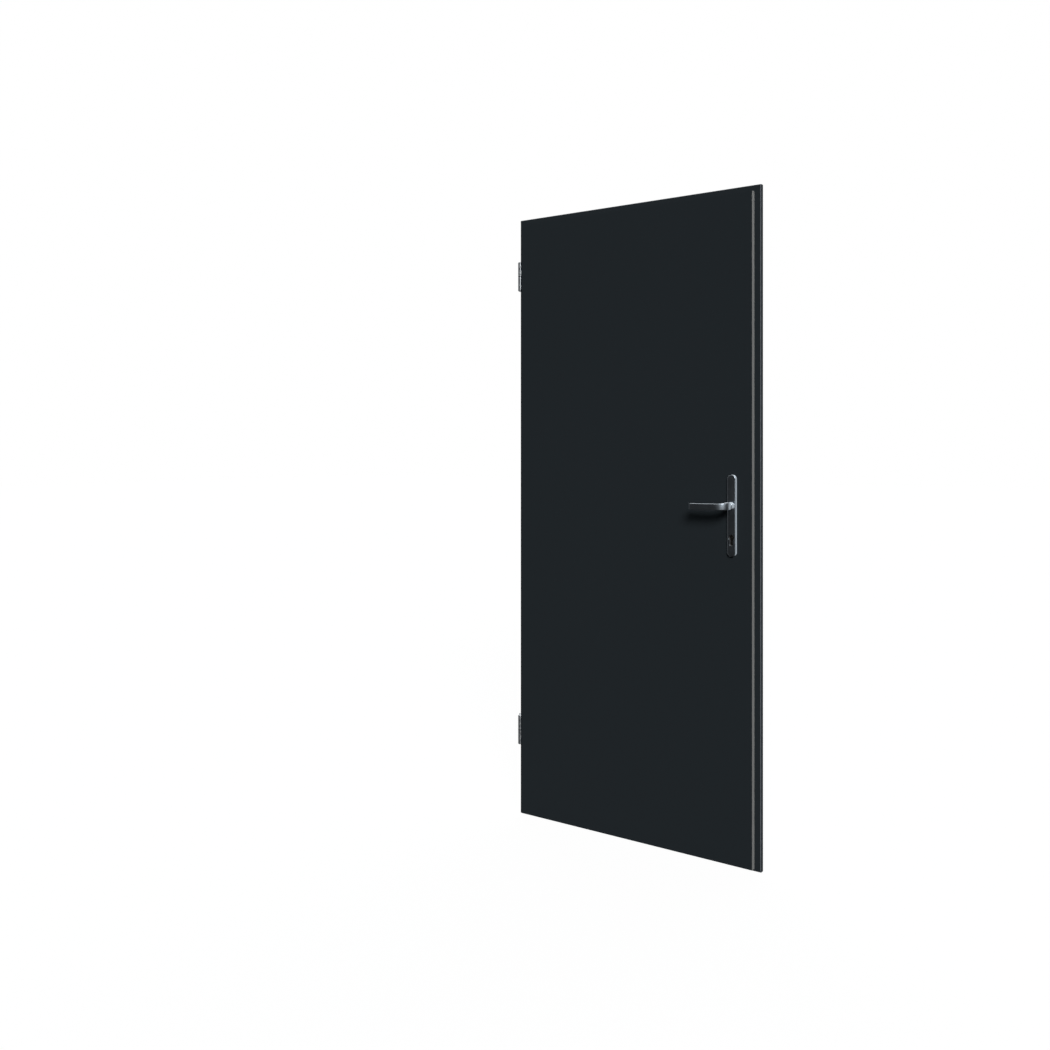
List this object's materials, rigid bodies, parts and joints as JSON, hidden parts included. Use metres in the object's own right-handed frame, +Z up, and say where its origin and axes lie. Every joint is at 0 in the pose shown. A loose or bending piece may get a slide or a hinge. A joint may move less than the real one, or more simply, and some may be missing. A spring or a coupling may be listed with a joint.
{
  "type": "steel utility door",
  "caption": "Rebated sheet-steel utility door leaf on lift-off hinges, with a lever handle on narrow plates, a keyed lock cylinder and light edge strips.",
  "frame": {"origin": "on the back of the lower hinge's frame plate, at the centre of its four screw holes", "axes": "+Z up, +X from the frame along the leaf to its closing edge, -Y out of the push face; leaf 90 degrees open"},
  "size_m": [0.898, 0.1675, 1.985],
  "materials": {
    "leaf_paint": "satin powder coat",
    "edge_strip": "matt",
    "infill_foam": "foam",
    "handle_alloy": "satin",
    "lock_nickel": "satin nickel",
    "hinge_steel": "zinc plated",
    "bearing_plastic": "matt"
  },
  "bodies": {
    "frame_hinges": {"lower_frame_part": "hinge_steel", "lower_hinge_pin": "hinge_steel", "lower_hinge_washer": "bearing_plastic", "lower_hinge_bottom_cap": "hinge_steel", "upper_frame_part": "hinge_steel", "upper_hinge_pin": "hinge_steel", "upper_hinge_washer": "bearing_plastic", "upper_hinge_bottom_cap": "hinge_steel"},
    "leaf": {"outer_skin": "leaf_paint", "inner_skin": "leaf_paint", "infill": "infill_foam", "hinge_edge_strip": "edge_strip", "closing_edge_strip": "edge_strip", "bottom_edge_strip": "edge_strip", "top_edge_strip": "edge_strip", "inner_handle_plate": "handle_alloy", "outer_handle_plate": "handle_alloy", "lock_cylinder": "lock_nickel", "inner_cylinder_plug": "lock_nickel", "outer_cylinder_plug": "lock_nickel", "lower_leaf_part": "hinge_steel", "lower_hinge_top_cap": "hinge_steel", "upper_leaf_part": "hinge_steel", "upper_hinge_top_cap": "hinge_steel"},
    "levers": {"inner_lever": "handle_alloy", "outer_lever": "handle_alloy", "spindle": "hinge_steel"}
  },
  "joints": [
    {"name": "leaf_swing", "type": "hinge", "parent": "frame_hinges", "child": "leaf", "pos_m": [0.024, -0.0465, 0], "axis": [0, 0, 1], "range_deg": [-90, 85]},
    {"name": "lever_turn", "type": "hinge", "parent": "leaf", "child": "levers", "pos_m": [0.8185, -0.0855, 0.783], "axis": [0, -1, 0], "range_deg": [0, 40], "stiffness_Nm_per_rad": 1.2, "springref_deg": -28.65}
  ]
}
